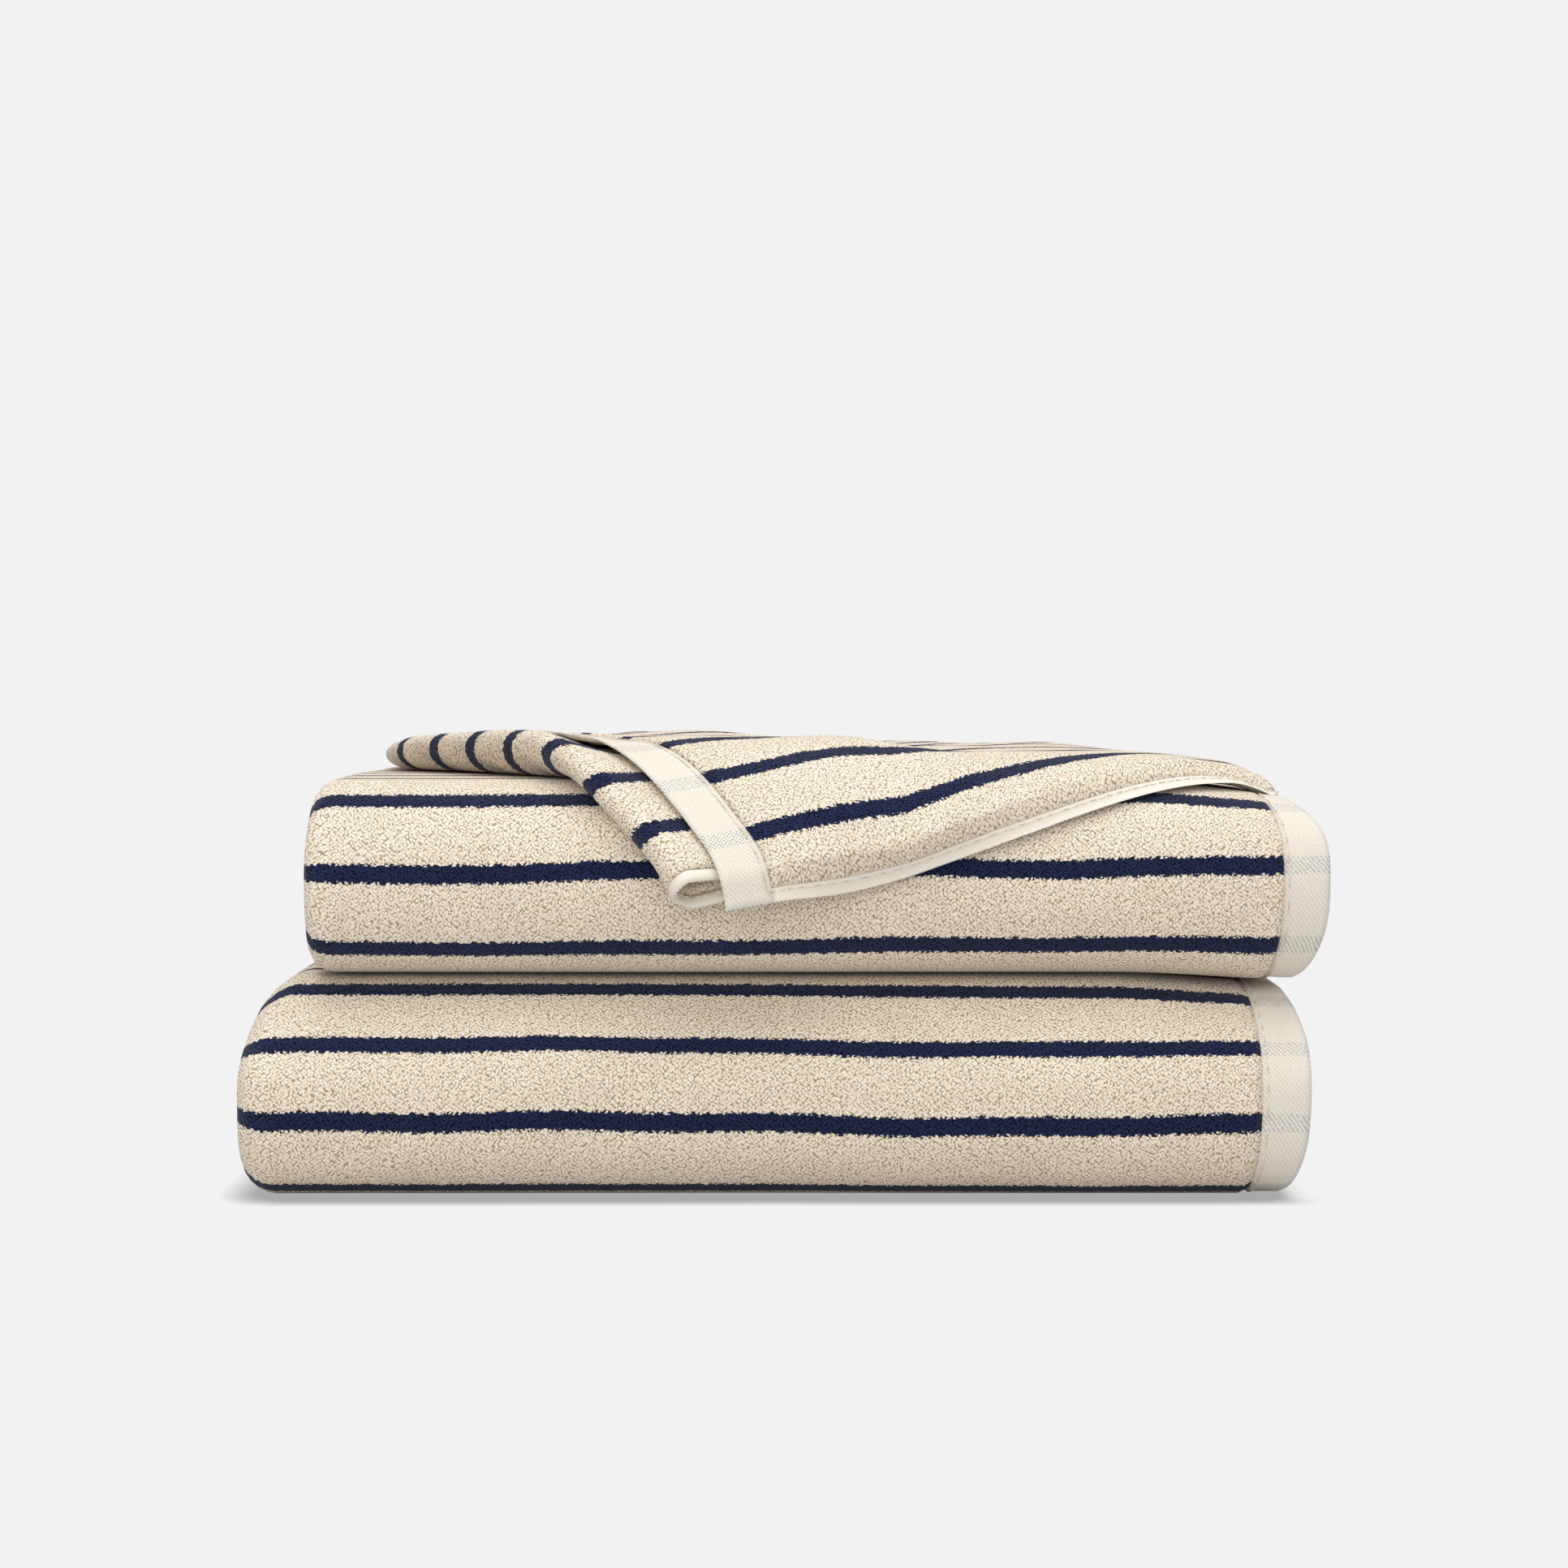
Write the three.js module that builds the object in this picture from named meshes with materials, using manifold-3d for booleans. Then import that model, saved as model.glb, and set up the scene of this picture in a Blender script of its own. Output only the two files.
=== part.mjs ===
// Bath towel set: two bath towels folded flat and stacked, with a hand towel draped over them.
// Millimetres, +Z up, +X along the folded length, +Y away from the front.
// The origin is the middle of the bounding box at the surface that the stack lies on.

import * as THREE from 'three';
import { mergeVertices } from 'three/addons/utils/BufferGeometryUtils.js';
import Module from 'manifold-3d';

const wasm = await Module();
wasm.setup();

// Driving dimensions

const GAP = 0.3;                 // air between pieces that touch
const PASSES = 3;                // a bath towel's width is folded in thirds
const LAYERS_PER_PASS = 4;       // its length is folded in half twice first

const LOWER = { name: 'lower_towel', length: 350, depth: 233, height: 74, x: -3, y: 2.52, z: 0 };
const UPPER = { name: 'upper_towel', length: 333, depth: 225, height: 64, x: 11.5, y: 0.02, z: 74.3 };

const END_ROUNDING = 14;         // how far the rounding reaches in from each end
const END_INSET = 11;            // how much smaller the outline is at the very end
const TOP_EDGE_RADIUS = 13;      // back edge of the top pass

const MIN_EDGE_RADIUS = 0.5;
const NOSE_STEPS = 18;
const BACK_FOLD_STEPS = 8;
const TOP_EDGE_STEPS = 5;
const END_STEPS = 5;             // stations along an end's rounding
const END_FOLD_STEPS = 6;        // facets of a fold in the quartered length
const LAYER_LEVELS = [1.5, 0.5, -0.5, -1.5];   // middles of a pass's layers, in layers

const END_HEM_WIDTH = 16;
const END_HEM_THICKNESS = 2;
const END_HEM_SINK = 1.2;        // the flat hem lies lower than the pile beside it
const INNER_HEM_INSET = 8;       // the second end hem lies one layer further in
const INNER_HEM_TRIM = 1;        // and ends this much short of the outer one
const SIDE_HEM_WIDTH = 4.2;
const SIDE_HEM_THICKNESS = 2.6;
const FREE_EDGE_SHORT = 4;       // the top pass ends this much short of the back fold
const FREE_HEM_SINK = 2.4;       // and its hem lies this much below the middle of the pass
const TUCKED_EDGE_IN = 2;        // the hidden long edge lies this far behind the front fold
const SLOT_WALL = 2;             // its slot stops this far from the left end
const SLOT_FLOOR = 0.4;
const CUTTER_REACH = 20;         // a cutter stands this far proud of the towel
const THREAD = 0.6;
const SIDE_STITCH_INSET = 0.5;   // from a side hem's edge to its row of stitches
const STITCH_INSET = 1.5;        // from a hem's edge to its row of stitches

const HAND = {
  length: 212,                   // folded length, from the rolled fold to the far fold
  width: 305,                    // across the stripes
  layer: 4.5,                    // one layer
  flapStart: 16,                 // the end hem of the top layer starts this far from the roll
  tuckEnd: 98,                   // the bottom layer ends this far from the roll
  lift: 1.6,                     // clears the chords of the faceted towel under it
};
const HAND_CORNER_X = -34;       // front corner of the roll
const HAND_CORNER_DROP = 16.5;   // that corner's distance below the middle of the upper towel's front
// Turns of the cloth's lines: distance along them, then degrees from X for the hem, from Y for the roll
const HEM_TURNS = [[0, 13], [60, 17], [120, 20], [212, 27]];
const ROLL_TURNS = [[0, 22], [25, 33], [175, 35], [210, 8], [250, 0]];
const LEAVE_ANGLE = 50;          // near the roll the cloth leaves the rounded front at this angle
const LEAVE_ANGLE_FAR = 110;     // and away from it, only here
const LEAVE_FROM = -5;
const LEAVE_TO = 75;
const HANG_RADIUS = 104;         // and bends this gently as it falls
const HAND_SETTLE = 1;          // how far it sinks over the rounded ends of the towel under it
const BACK_STEP = 8;             // behind the stack it hangs clear of the deeper lower towel
const BACK_STEP_FALL = 40;
const SETTLE_LENGTH = 20;        // past the tucked end the pile settles over this length
const PILE_EDGE = 0.1;           // a step in the pile's height is this wide
const HAND_HEM_SINK = 1;         // the turned hem is this much flatter than the pile
const TURN_STEPS = 40;
const HEM_STEPS = 3;
const LENGTH_STEPS = 20;
const ROLL_STEPS = 6;
const HAND_MIDDLE_STEPS = 9;
const ACROSS_STEPS = 44;

const CREAM = 0xe3d3bd;
const OFF_WHITE = 0xefe9dc;
const THREAD_COLOUR = 0xe8e0d0;

// Mesh helpers

const radians = THREE.MathUtils.degToRad;

function solidFrom(points, indices) {
  const geometry = new THREE.BufferGeometry();
  const flat = points.flatMap((point) => [point.x, point.y, point.z]);
  geometry.setAttribute('position', new THREE.Float32BufferAttribute(flat, 3));
  geometry.setIndex(volumeOf(points, indices) < 0 ? indices.slice().reverse() : indices);
  geometry.computeVertexNormals();
  return geometry;
}

function volumeOf(points, indices) {
  let volume = 0;
  for (let i = 0; i < indices.length; i += 3) {
    const [a, b, c] = [0, 1, 2].map((k) => points[indices[i + k]]);
    volume += a.dot(b.clone().cross(c)) / 6;
  }
  return volume;
}

// A closed solid through rings of equal count, with a fan over each end.
function loftRings(rings) {
  const count = rings[0].length;
  const points = rings.flat();
  const indices = [];
  for (let i = 0; i + 1 < rings.length; i += 1) {
    for (let j = 0; j < count; j += 1) {
      const a = i * count + j;
      const b = i * count + (j + 1) % count;
      indices.push(a, b, a + count, b, b + count, a + count);
    }
  }
  const last = (rings.length - 1) * count;
  const caps = [[0, true], [last, false]];
  caps.forEach(([start, flip]) => {
    const ring = points.slice(start, start + count);
    const centre = ring.reduce((sum, point) => sum.add(point), new THREE.Vector3());
    points.push(centre.divideScalar(count));
    const hub = points.length - 1;
    for (let j = 0; j < count; j += 1) {
      const a = start + j;
      const b = start + (j + 1) % count;
      indices.push(hub, flip ? b : a, flip ? a : b);
    }
  });
  return solidFrom(points, indices);
}

// A closed solid between two grids of points, [row][column].
function thickSheet(upper, lower) {
  const rows = upper.length;
  const columns = upper[0].length;
  const points = [...upper.flat(), ...lower.flat()];
  const under = rows * columns;
  const at = (i, j) => i * columns + j;
  const indices = [];
  const quad = (a, b, c, d) => indices.push(a, b, c, a, c, d);
  for (let i = 0; i + 1 < rows; i += 1) {
    for (let j = 0; j + 1 < columns; j += 1) {
      const corners = [at(i, j), at(i + 1, j), at(i + 1, j + 1), at(i, j + 1)];
      quad(...corners);
      quad(...corners.reverse().map((k) => k + under));
    }
  }
  const rim = [];
  for (let j = 0; j + 1 < columns; j += 1) rim.push(at(0, j));
  for (let i = 0; i + 1 < rows; i += 1) rim.push(at(i, columns - 1));
  for (let j = columns - 1; j > 0; j -= 1) rim.push(at(rows - 1, j));
  for (let i = rows - 1; i > 0; i -= 1) rim.push(at(i, 0));
  rim.forEach((a, k) => {
    const b = rim[(k + 1) % rim.length];
    quad(a, b, b + under, a + under);
  });
  return solidFrom(points, indices);
}

function toManifold(geometry) {
  const bare = geometry.clone();
  bare.deleteAttribute('normal');
  bare.deleteAttribute('uv');
  const merged = mergeVertices(bare, 1e-4);
  const vertProperties = new Float32Array(merged.attributes.position.array);
  const triVerts = new Uint32Array(merged.index.array);
  return new wasm.Manifold(new wasm.Mesh({ numProp: 3, vertProperties, triVerts }));
}

function cutAway(geometry, cutters) {
  let solid = toManifold(geometry);
  cutters.forEach((cutter) => {
    solid = solid.subtract(toManifold(cutter));
  });
  const mesh = solid.getMesh();
  const result = new THREE.BufferGeometry();
  result.setAttribute('position', new THREE.Float32BufferAttribute(mesh.vertProperties, 3));
  result.setIndex([...mesh.triVerts]);
  result.computeVertexNormals();
  return result;
}

function boxBetween(low, high) {
  const size = high.clone().sub(low);
  const box = new THREE.BoxGeometry(size.x, size.y, size.z);
  box.translate(...low.clone().add(high).multiplyScalar(0.5).toArray());
  return box;
}

// Folded bath towels

function arcPoints(centreY, centreZ, radius, from, to, steps) {
  return Array.from({ length: steps + 1 }, (_, i) => {
    const angle = from + ((to - from) * i) / steps;
    return [centreY + radius * Math.cos(angle), centreZ + radius * Math.sin(angle)];
  });
}

// The folded outline across the towel, made smaller by inset: the wide front fold from top
// to bottom, the back fold of the two lower passes, and the edge of the top pass.
function foldOutline(towel, inset) {
  const half = towel.height / 2;
  const front = towel.y - towel.depth / 2;
  const back = towel.y + towel.depth / 2;
  const foldRadius = towel.height / PASSES;
  const quarter = Math.PI / 2;
  const edgeRadius = Math.max(TOP_EDGE_RADIUS - inset, MIN_EDGE_RADIUS);
  const edgeCentre = TOP_EDGE_RADIUS;
  return [
    ...arcPoints(front + half, half, half - inset, quarter, 3 * quarter, NOSE_STEPS),
    ...arcPoints(back - foldRadius, foldRadius, foldRadius - inset, 3 * quarter, 4 * quarter, BACK_FOLD_STEPS),
    ...arcPoints(back - edgeCentre, towel.height - edgeCentre, edgeRadius, 0, quarter, TOP_EDGE_STEPS),
  ];
}

function endInset(towel, x) {
  const intoEnd = Math.abs(x - towel.x) - (towel.length / 2 - END_ROUNDING);
  const share = Math.min(Math.max(intoEnd / END_ROUNDING, 0), 1);
  return END_INSET * (1 - Math.sqrt(1 - share * share));
}

function ringAt(towel, x, inset) {
  return foldOutline(towel, inset).map(([y, z]) => new THREE.Vector3(x, y, z + towel.z));
}

const rightEnd = (towel) => towel.x + towel.length / 2;
const leftEnd = (towel) => towel.x - towel.length / 2;
const hemStart = (towel) => rightEnd(towel) - END_HEM_WIDTH;

// Places along an end's rounding, closer together towards the tip.
function endStations(from, to, steps) {
  return Array.from({ length: steps + 1 }, (_, i) => {
    return from + (to - from) * Math.sin((Math.PI / 2) * (i / steps));
  });
}

function terryBlank(towel) {
  const left = leftEnd(towel);
  const rounded = endStations(left + END_ROUNDING, left, END_STEPS).reverse();
  const rings = [...rounded, towel.x, hemStart(towel) - GAP].map((x) => {
    return ringAt(towel, x, endInset(towel, x));
  });
  const sunk = END_HEM_SINK + END_HEM_THICKNESS + GAP;
  endHemStations(towel, 0).forEach((x) => {
    rings.push(ringAt(towel, x, endInset(towel, x) + sunk));
  });
  return loftRings(rings);
}

// A strip that follows the outer layer over the top, round the front, under and up the back fold.
function outlineStrip(towel, inset, thickness, stations) {
  const grid = (extra) => stations.map((x) => {
    const ring = ringAt(towel, x, endInset(towel, x) + inset + extra);
    const backFoldEnd = NOSE_STEPS + 1 + BACK_FOLD_STEPS + 1;
    return [ring[ring.length - 1], ...ring.slice(0, backFoldEnd)];
  });
  return thickSheet(grid(0), grid(thickness));
}

function endHemStations(towel, endTrim) {
  return endStations(hemStart(towel), rightEnd(towel) - endTrim, END_STEPS);
}

// One long edge of the towel: four lengths, joined by the nested end folds.
function quarteredPath(towel, middle) {
  const pitch = towel.height / PASSES / LAYERS_PER_PASS;
  const left = leftEnd(towel) + END_ROUNDING;
  const right = rightEnd(towel) - END_ROUNDING;
  const levels = LAYER_LEVELS.map((k) => middle + k * pitch);
  const turn = (x, from, to, side) => {
    const radius = Math.abs(from - to) / 2;
    return arcPoints(x, (from + to) / 2, radius, Math.PI / 2, -Math.PI / 2, END_FOLD_STEPS)
      .map(([px, pz]) => [x + side * (px - x), from > to ? pz : from + to - pz]);
  };
  return [
    [right, levels[0]],
    ...turn(left, levels[0], levels[3], -1),
    ...turn(right, levels[3], levels[2], 1),
    ...turn(left, levels[2], levels[1], -1),
    [right, levels[1]],
  ];
}

function ribbonAlong(path, thickness, lowY, highY) {
  const normalAt = (i) => {
    const before = path[Math.max(i - 1, 0)];
    const after = path[Math.min(i + 1, path.length - 1)];
    const run = new THREE.Vector2(after[0] - before[0], after[1] - before[1]).normalize();
    return [-run.y, run.x];
  };
  const grid = (side) => path.map(([x, z], i) => {
    const [nx, nz] = normalAt(i);
    const shift = (side * thickness) / 2;
    return [lowY, highY].map((y) => new THREE.Vector3(x + nx * shift, y, z + nz * shift));
  });
  return thickSheet(grid(1), grid(-1));
}

function sideHemPlaces(towel) {
  const third = towel.height / PASSES;
  const back = towel.y + towel.depth / 2;
  const noseMiddle = towel.y - towel.depth / 2 + towel.height / 2;
  return {
    free: { y: back - SIDE_HEM_WIDTH - FREE_EDGE_SHORT, z: towel.z + 2.5 * third - FREE_HEM_SINK },
    tucked: { y: noseMiddle + TUCKED_EDGE_IN, z: towel.z + 1.5 * third },
  };
}

function sideHem(towel, place) {
  const path = quarteredPath(towel, place.z);
  return ribbonAlong(path, SIDE_HEM_THICKNESS, place.y, place.y + SIDE_HEM_WIDTH);
}

// Room for a side hem: a notch on the open back edge, or a slot that opens at the right end.
function sideHemRoom(towel, place, openAbove) {
  const third = towel.height / PASSES;
  const reach = openAbove ? CUTTER_REACH : GAP;
  const left = leftEnd(towel) + (openAbove ? -CUTTER_REACH : SLOT_WALL);
  const right = rightEnd(towel) + CUTTER_REACH;
  const ceiling = place.z + third / 2 + (openAbove ? CUTTER_REACH : 0);
  return boxBetween(
    new THREE.Vector3(left, place.y - GAP, place.z - third / 2 + SLOT_FLOOR),
    new THREE.Vector3(right, place.y + SIDE_HEM_WIDTH + reach, ceiling),
  );
}

function bathTowelTerry(towel) {
  const places = sideHemPlaces(towel);
  const grooveInset = INNER_HEM_INSET - GAP;
  const innerStations = endHemStations(towel, INNER_HEM_TRIM);
  const grooveStations = [hemStart(towel) - GAP, ...innerStations, rightEnd(towel) + CUTTER_REACH];
  const groove = outlineStrip(towel, grooveInset, END_HEM_THICKNESS + 2 * GAP, grooveStations);
  const freeRoom = sideHemRoom(towel, places.free, true);
  const tuckedRoom = sideHemRoom(towel, places.tucked, false);
  return cutAway(terryBlank(towel), [groove, freeRoom, tuckedRoom]);
}

function endHemThread(towel) {
  const start = hemStart(towel) + STITCH_INSET;
  const stations = [start, start + THREAD];
  return outlineStrip(towel, END_HEM_SINK - GAP - THREAD, THREAD, stations);
}

function sideHemThread(towel, place) {
  const pitch = towel.height / PASSES / LAYERS_PER_PASS;
  const low = place.z + LAYER_LEVELS[0] * pitch + SIDE_HEM_THICKNESS / 2 + GAP;
  return boxBetween(
    new THREE.Vector3(leftEnd(towel) + END_ROUNDING, place.y + SIDE_STITCH_INSET, low),
    new THREE.Vector3(hemStart(towel), place.y + SIDE_STITCH_INSET + THREAD, low + THREAD),
  );
}

// Hand towel

// A point on the upper towel's skin, raised by lift. along runs over the top from front to back,
// and is 0 where the front fold meets the flat top.
function onUpperTowel(x, along, lift) {
  const half = UPPER.height / 2;
  const noseY = UPPER.y - UPPER.depth / 2 + half;
  const edgeY = UPPER.y + UPPER.depth / 2 - TOP_EDGE_RADIUS;
  const flat = edgeY - noseY;
  const top = UPPER.z + UPPER.height;
  const end = Math.min(endInset(UPPER, x), HAND_SETTLE);
  if (along < 0) {
    const farShare = THREE.MathUtils.smoothstep(x, LEAVE_FROM, LEAVE_TO);
    const leave = radians(LEAVE_ANGLE + (LEAVE_ANGLE_FAR - LEAVE_ANGLE) * farShare);
    const hanging = Math.max(-along / half - leave, 0) * half / HANG_RADIUS;
    const angle = Math.min(-along / half, leave) + hanging;
    const radius = hanging > 0 ? HANG_RADIUS : half;
    const reach = radius - end + lift;
    const centreY = noseY - (half - radius) * Math.sin(leave);
    const centreZ = top - half + (half - radius) * Math.cos(leave);
    return new THREE.Vector3(x, centreY - reach * Math.sin(angle), centreZ + reach * Math.cos(angle));
  }
  if (along < flat) return new THREE.Vector3(x, noseY + along, top - end + lift);
  const bend = Math.PI / 2 * TOP_EDGE_RADIUS;
  const reach = TOP_EDGE_RADIUS - end + lift;
  const angle = Math.min((along - flat) / TOP_EDGE_RADIUS, Math.PI / 2);
  const fall = Math.max(along - flat - bend, 0);
  const edgeZ = top - TOP_EDGE_RADIUS;
  const clear = BACK_STEP * THREE.MathUtils.smoothstep(fall, 0, BACK_STEP_FALL);
  const y = edgeY + reach * Math.sin(angle) + clear;
  return new THREE.Vector3(x, y, edgeZ + reach * Math.cos(angle) - fall);
}

function yawAt(turns, distance) {
  const next = turns.findIndex(([from]) => from > distance);
  if (next < 0) return turns[turns.length - 1][1];
  const [from, startYaw] = turns[next - 1];
  const [to, endYaw] = turns[next];
  return startYaw + (endYaw - startYaw) * (distance - from) / (to - from);
}

function turnedRun(distance, turns) {
  const step = distance / TURN_STEPS;
  const run = new THREE.Vector2();
  for (let i = 0; i < TURN_STEPS; i += 1) {
    const yaw = radians(yawAt(turns, (i + 0.5) * step));
    run.x += step * Math.cos(yaw);
    run.y += step * Math.sin(yaw);
  }
  return run;
}

// A point of the folded hand towel: p along the stripes from the roll, q across from the front hem.
function onHandTowel(p, q, lift) {
  const hem = turnedRun(p, HEM_TURNS);
  const roll = turnedRun(q, ROLL_TURNS);
  const start = -(Math.PI / 2) * (UPPER.height / 2) - HAND_CORNER_DROP;
  return onUpperTowel(HAND_CORNER_X + hem.x - roll.y, start + hem.y + roll.x, lift);
}

function spread(from, to, steps) {
  return Array.from({ length: steps + 1 }, (_, i) => from + ((to - from) * i) / steps);
}

function handGrid(ps, qs, liftAt) {
  return ps.map((p) => qs.map((q) => onHandTowel(p, q, liftAt(p))));
}

// The folded pile: two layers at the roll, three over the tucked end, then two.
function handTop(p) {
  const { layer, flapStart, tuckEnd } = HAND;
  if (p < flapStart + END_HEM_WIDTH + GAP) return 2 * layer;
  if (p < tuckEnd) return 3 * layer;
  const settle = Math.min((p - tuckEnd) / SETTLE_LENGTH, 1);
  return (3 - settle) * layer;
}

function handBottom(p) {
  const tucked = p > HAND.tuckEnd - END_HEM_WIDTH - GAP && p < HAND.tuckEnd + GAP;
  return HAND.lift + (tucked ? END_HEM_THICKNESS + 2 * GAP : 0);
}

function handLengthStations() {
  const flapEdge = HAND.flapStart + END_HEM_WIDTH + GAP;
  const tuckFrom = HAND.tuckEnd - END_HEM_WIDTH - GAP;
  const settled = HAND.tuckEnd + SETTLE_LENGTH;
  return [
    ...spread(0, flapEdge - PILE_EDGE, ROLL_STEPS),
    ...spread(flapEdge, tuckFrom, HAND_MIDDLE_STEPS),
    ...spread(tuckFrom + PILE_EDGE, HAND.tuckEnd, HEM_STEPS), ...spread(HAND.tuckEnd + GAP, settled, HEM_STEPS),
    ...spread(settled, HAND.length, LENGTH_STEPS).slice(1),
  ];
}

const HAND_ACROSS = spread(SIDE_HEM_WIDTH + GAP, HAND.width - SIDE_HEM_WIDTH - GAP, ACROSS_STEPS);

function handTerry() {
  const ps = handLengthStations();
  return thickSheet(handGrid(ps, HAND_ACROSS, handTop), handGrid(ps, HAND_ACROSS, handBottom));
}

function handSideHem(fromQ) {
  const ps = handLengthStations();
  const qs = [fromQ, fromQ + SIDE_HEM_WIDTH];
  const top = (p) => handTop(p) - HAND_HEM_SINK;
  const bottom = () => HAND.lift;
  return thickSheet(handGrid(ps, qs, top), handGrid(ps, qs, bottom));
}

function handEndHem(fromP, lift) {
  const ps = spread(fromP, fromP + END_HEM_WIDTH, HEM_STEPS);
  return thickSheet(
    handGrid(ps, HAND_ACROSS, () => lift + END_HEM_THICKNESS),
    handGrid(ps, HAND_ACROSS, () => lift),
  );
}

function handEndHemThread() {
  const from = HAND.flapStart + STITCH_INSET;
  const ps = [from, from + THREAD];
  const lift = 2 * HAND.layer + END_HEM_THICKNESS + 2 * GAP;
  return thickSheet(
    handGrid(ps, HAND_ACROSS, () => lift + THREAD),
    handGrid(ps, HAND_ACROSS, () => lift),
  );
}

function handSideHemThread() {
  const ps = spread(HAND.tuckEnd + SETTLE_LENGTH, HAND.length - STITCH_INSET, LENGTH_STEPS);
  const from = SIDE_HEM_WIDTH - STITCH_INSET;
  const qs = [from, from + THREAD];
  const lift = 2 * HAND.layer - HAND_HEM_SINK + GAP;
  return thickSheet(handGrid(ps, qs, () => lift + THREAD), handGrid(ps, qs, () => lift));
}

// Assembly

const terry = { color: CREAM, roughness: 0.95, metalness: 0 };
const flatWeave = { color: OFF_WHITE, roughness: 0.85, metalness: 0 };
const sewingThread = { color: THREAD_COLOUR, roughness: 0.7, metalness: 0 };

const group = new THREE.Group();

function addPiece(name, geometry, look) {
  const mesh = new THREE.Mesh(geometry, new THREE.MeshStandardMaterial(look));
  mesh.name = name;
  group.add(mesh);
}

[LOWER, UPPER].forEach((towel) => {
  const places = sideHemPlaces(towel);
  const outer = outlineStrip(towel, END_HEM_SINK, END_HEM_THICKNESS, endHemStations(towel, 0));
  const inner = outlineStrip(towel, INNER_HEM_INSET, END_HEM_THICKNESS, endHemStations(towel, INNER_HEM_TRIM));
  addPiece(`${towel.name}_terry`, bathTowelTerry(towel), terry);
  addPiece(`${towel.name}_end_hem_outer`, outer, flatWeave);
  addPiece(`${towel.name}_end_hem_inner`, inner, flatWeave);
  addPiece(`${towel.name}_side_hem_free`, sideHem(towel, places.free), flatWeave);
  addPiece(`${towel.name}_side_hem_tucked`, sideHem(towel, places.tucked), flatWeave);
  addPiece(`${towel.name}_end_hem_thread`, endHemThread(towel), sewingThread);
  addPiece(`${towel.name}_side_hem_thread`, sideHemThread(towel, places.free), sewingThread);
});

addPiece('hand_towel_terry', handTerry(), terry);
addPiece('hand_towel_end_hem_top', handEndHem(HAND.flapStart, 2 * HAND.layer + GAP), flatWeave);
addPiece('hand_towel_end_hem_tucked', handEndHem(HAND.tuckEnd - END_HEM_WIDTH, HAND.lift), flatWeave);
addPiece('hand_towel_side_hem_front', handSideHem(0), flatWeave);
addPiece('hand_towel_side_hem_back', handSideHem(HAND.width - SIDE_HEM_WIDTH), flatWeave);
addPiece('hand_towel_end_hem_thread', handEndHemThread(), sewingThread);
addPiece('hand_towel_side_hem_thread', handSideHemThread(), sewingThread);

export default group;
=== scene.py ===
"""Bath towel set: striped terry bath towels folded flat in a stack, with a hand towel draped over them.

Lengths are in metres. +X runs along the folded length, +Y away from the front and +Z up.
Every cloth is one sheet, folded by a rule: u runs along its stripes and t across them.
"""

import math

import bpy
import numpy as np
from bpy.props import FloatProperty, FloatVectorProperty, PointerProperty
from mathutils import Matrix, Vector


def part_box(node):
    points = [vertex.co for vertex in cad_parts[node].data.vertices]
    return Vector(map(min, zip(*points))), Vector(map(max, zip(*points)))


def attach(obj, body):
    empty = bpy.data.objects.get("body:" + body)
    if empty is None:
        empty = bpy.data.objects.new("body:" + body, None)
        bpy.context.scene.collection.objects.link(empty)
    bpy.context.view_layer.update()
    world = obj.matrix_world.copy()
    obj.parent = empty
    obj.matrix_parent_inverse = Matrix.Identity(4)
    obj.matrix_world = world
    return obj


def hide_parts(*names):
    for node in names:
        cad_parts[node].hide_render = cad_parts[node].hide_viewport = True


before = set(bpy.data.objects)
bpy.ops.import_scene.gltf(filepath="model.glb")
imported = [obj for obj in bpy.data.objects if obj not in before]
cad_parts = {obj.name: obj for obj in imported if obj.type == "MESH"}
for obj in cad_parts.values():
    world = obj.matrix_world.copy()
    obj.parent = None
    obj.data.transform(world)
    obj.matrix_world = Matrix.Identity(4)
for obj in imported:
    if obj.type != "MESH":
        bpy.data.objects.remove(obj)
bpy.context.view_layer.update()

bl_info = {
    "name": "Bath Towel Set",
    "version": (1, 0, 0),
    "blender": (4, 5, 0),
    "location": "View3D > Sidebar > Towels",
    "description": "Folded and draped terry towels with woven stripes, flat hems and stitches",
    "category": "Add Mesh",
}

MM = 0.001
PASSES = 3
LAYERS_PER_PASS = 4
CLOTH_MAP = "cloth"
PAPER = "#F2F2F2"
BACK_SAG = 2.0 * MM  # how much lower the top of the stack is at the back


def srgb(code):
    """An sRGB hex colour as linear red, green and blue."""
    channels = [int(code[i:i + 2], 16) / 255 for i in (1, 3, 5)]
    return [c / 12.92 if c <= 0.04045 else ((c + 0.055) / 1.055) ** 2.4 for c in channels]


# Settings


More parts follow.
